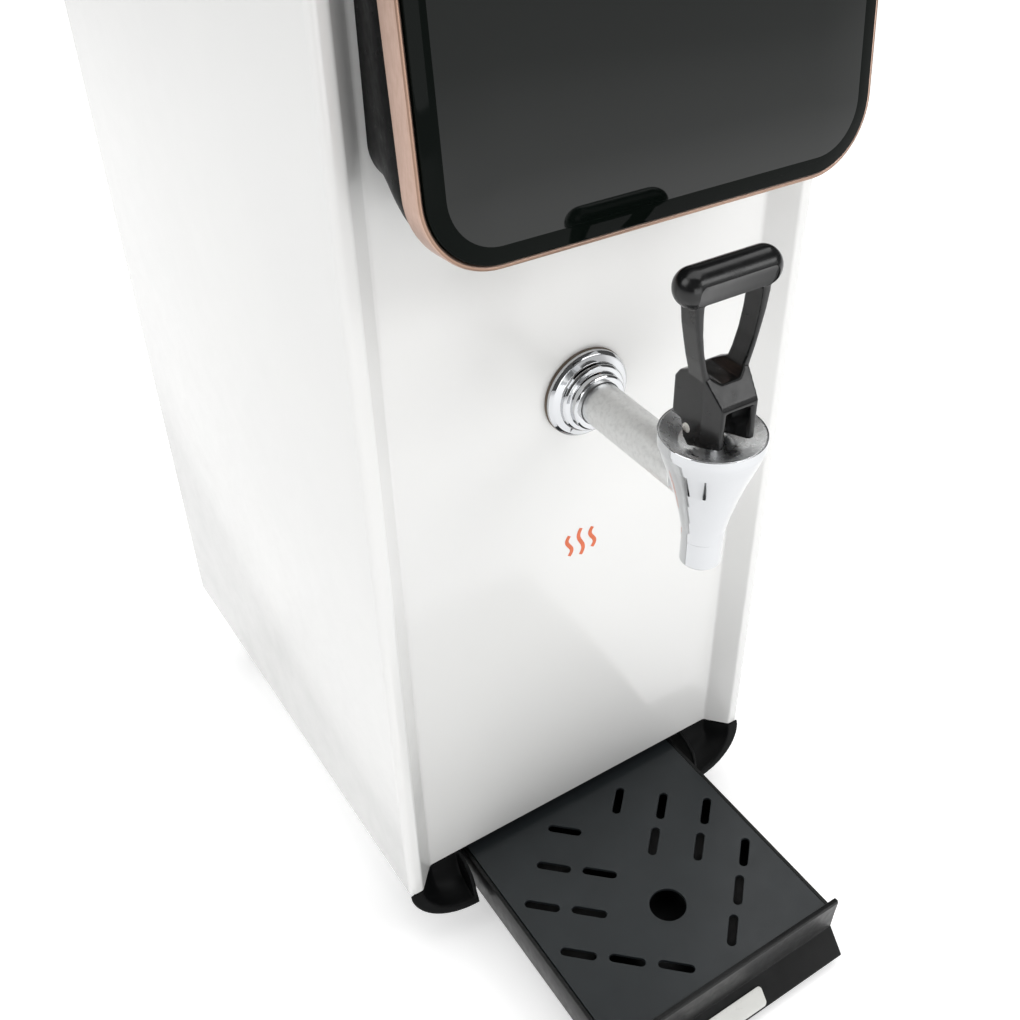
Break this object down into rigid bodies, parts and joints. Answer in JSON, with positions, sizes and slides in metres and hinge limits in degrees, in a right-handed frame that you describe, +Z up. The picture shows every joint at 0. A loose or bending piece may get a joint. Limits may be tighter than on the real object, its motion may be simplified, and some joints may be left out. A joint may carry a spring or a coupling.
{
  "type": "countertop hot water dispenser",
  "caption": "Narrow white cabinet on short legs with a rounded black display pod, a self-closing loop-handled tap and a sliding drip tray with a slotted grille.",
  "frame": {"origin": "centre of the bounding box at counter level, under the foot pads", "axes": "+Z up, -Y towards the user (tap and drip tray), +X to the right seen from the front of the cabinet"},
  "size_m": [0.235, 0.4838, 0.605],
  "materials": {
    "white_paint": "glossy white stove enamel on steel",
    "black_plastic": "semi-gloss moulded black plastic",
    "handle_black": "semi-gloss black phenolic plastic",
    "panel_black": "high-gloss black, glass-like",
    "rose_gold": "satin rose-gold metallic",
    "chrome": "polished chrome plate",
    "satin_steel": "satin stainless steel",
    "grille_grey": "satin slate-grey moulded plate",
    "label_blank": "blank satin label",
    "rubber": "matt black rubber",
    "silicone": "translucent white silicone",
    "fibre": "brown fibre gasket",
    "brass": "machined brass",
    "circuit": "green circuit board",
    "foam": "pale mineral-wool insulation"
  },
  "bodies": {
    "cabinet": {"body_wrap": "white_paint", "top_cover": "white_paint", "back_panel": "white_paint", "base_pan": "white_paint", "base_moulding": "black_plastic", "leg_front_left": "black_plastic", "leg_front_right": "black_plastic", "leg_rear_left": "black_plastic", "leg_rear_right": "black_plastic", "display_housing": "black_plastic", "terminal_block": "black_plastic", "switch_housing": "black_plastic", "cord_gland": "black_plastic", "display_glass": "panel_black", "display_led_panel": "panel_black", "display_trim_ring": "rose_gold", "faucet_rosette": "chrome", "faucet_body": "chrome", "faucet_shank": "satin_steel", "faucet_lock_washer": "satin_steel", "faucet_bonnet": "satin_steel", "tray_guide_left": "satin_steel", "tray_guide_right": "satin_steel", "tank_wall": "satin_steel", "tank_bottom": "satin_steel", "tank_lid": "satin_steel", "tank_shelf": "satin_steel", "level_probe_high": "satin_steel", "level_probe_low": "satin_steel", "heating_element": "satin_steel", "temperature_probe": "satin_steel", "drain_pipe": "satin_steel", "power_relay": "satin_steel", "thermal_cutout": "satin_steel", "foot_pad_front_left": "rubber", "foot_pad_front_right": "rubber", "foot_pad_rear_left": "rubber", "foot_pad_rear_right": "rubber", "lid_gasket": "silicone", "heater_gasket": "silicone", "outlet_sleeve": "silicone", "fill_hose": "silicone", "overflow_pipe": "silicone", "faucet_gasket": "fibre", "faucet_lock_nut": "brass", "inlet_valve": "brass", "display_board": "circuit", "control_board": "circuit", "tank_insulation": "foam"},
    "valve": {"valve_stem": "satin_steel", "valve_seat_cup": "silicone", "valve_spring": "satin_steel"},
    "handle": {"faucet_handle": "handle_black", "handle_pin": "satin_steel"},
    "tray": {"drip_tray": "black_plastic", "tray_label": "label_blank"},
    "grille": {"tray_grille": "grille_grey"},
    "rocker": {"power_rocker": "panel_black"},
    "seal": {"drain_seal": "rubber"},
    "cap": {"drain_cap": "black_plastic"}
  },
  "joints": [
    {"name": "stem_lift", "type": "slide", "parent": "cabinet", "child": "valve", "axis": [0, 0, 1], "range_m": [0, 0.005], "stiffness_N_per_m": 1200, "springref_m": -0.004, "deforming": ["valve_spring"]},
    {"name": "handle_tilt", "type": "hinge", "parent": "valve", "child": "handle", "pos_m": [0, -0.1703, 0.3626], "axis": [1, 0, 0], "range_deg": [0, 35]},
    {"name": "tray_slide", "type": "slide", "parent": "cabinet", "child": "tray", "axis": [0, -1, 0], "range_m": [-0.118, 0.04]},
    {"name": "grille_lift", "type": "slide", "parent": "tray", "child": "grille", "axis": [0, 0, 1], "range_m": [0, 0.0035]},
    {"name": "power_switch", "type": "hinge", "parent": "cabinet", "child": "rocker", "pos_m": [-0.07, 0.2149, 0.146], "axis": [-1, 0, 0], "range_deg": [0, 25]},
    {"name": "cap_slide", "type": "slide", "parent": "cabinet", "child": "seal", "axis": [0, 1, 0], "range_m": [0, 0.0045]},
    {"name": "cap_turn", "type": "hinge", "parent": "seal", "child": "cap", "pos_m": [0, 0.2229, 0.09], "axis": [0, 1, 0], "range_deg": [0, 1080]}
  ],
  "couplings": [
    {"joint": "handle_tilt", "follows": "stem_lift", "rad_per_m": 122.1},
    {"joint": "cap_turn", "follows": "cap_slide", "rad_per_m": 4188}
  ]
}
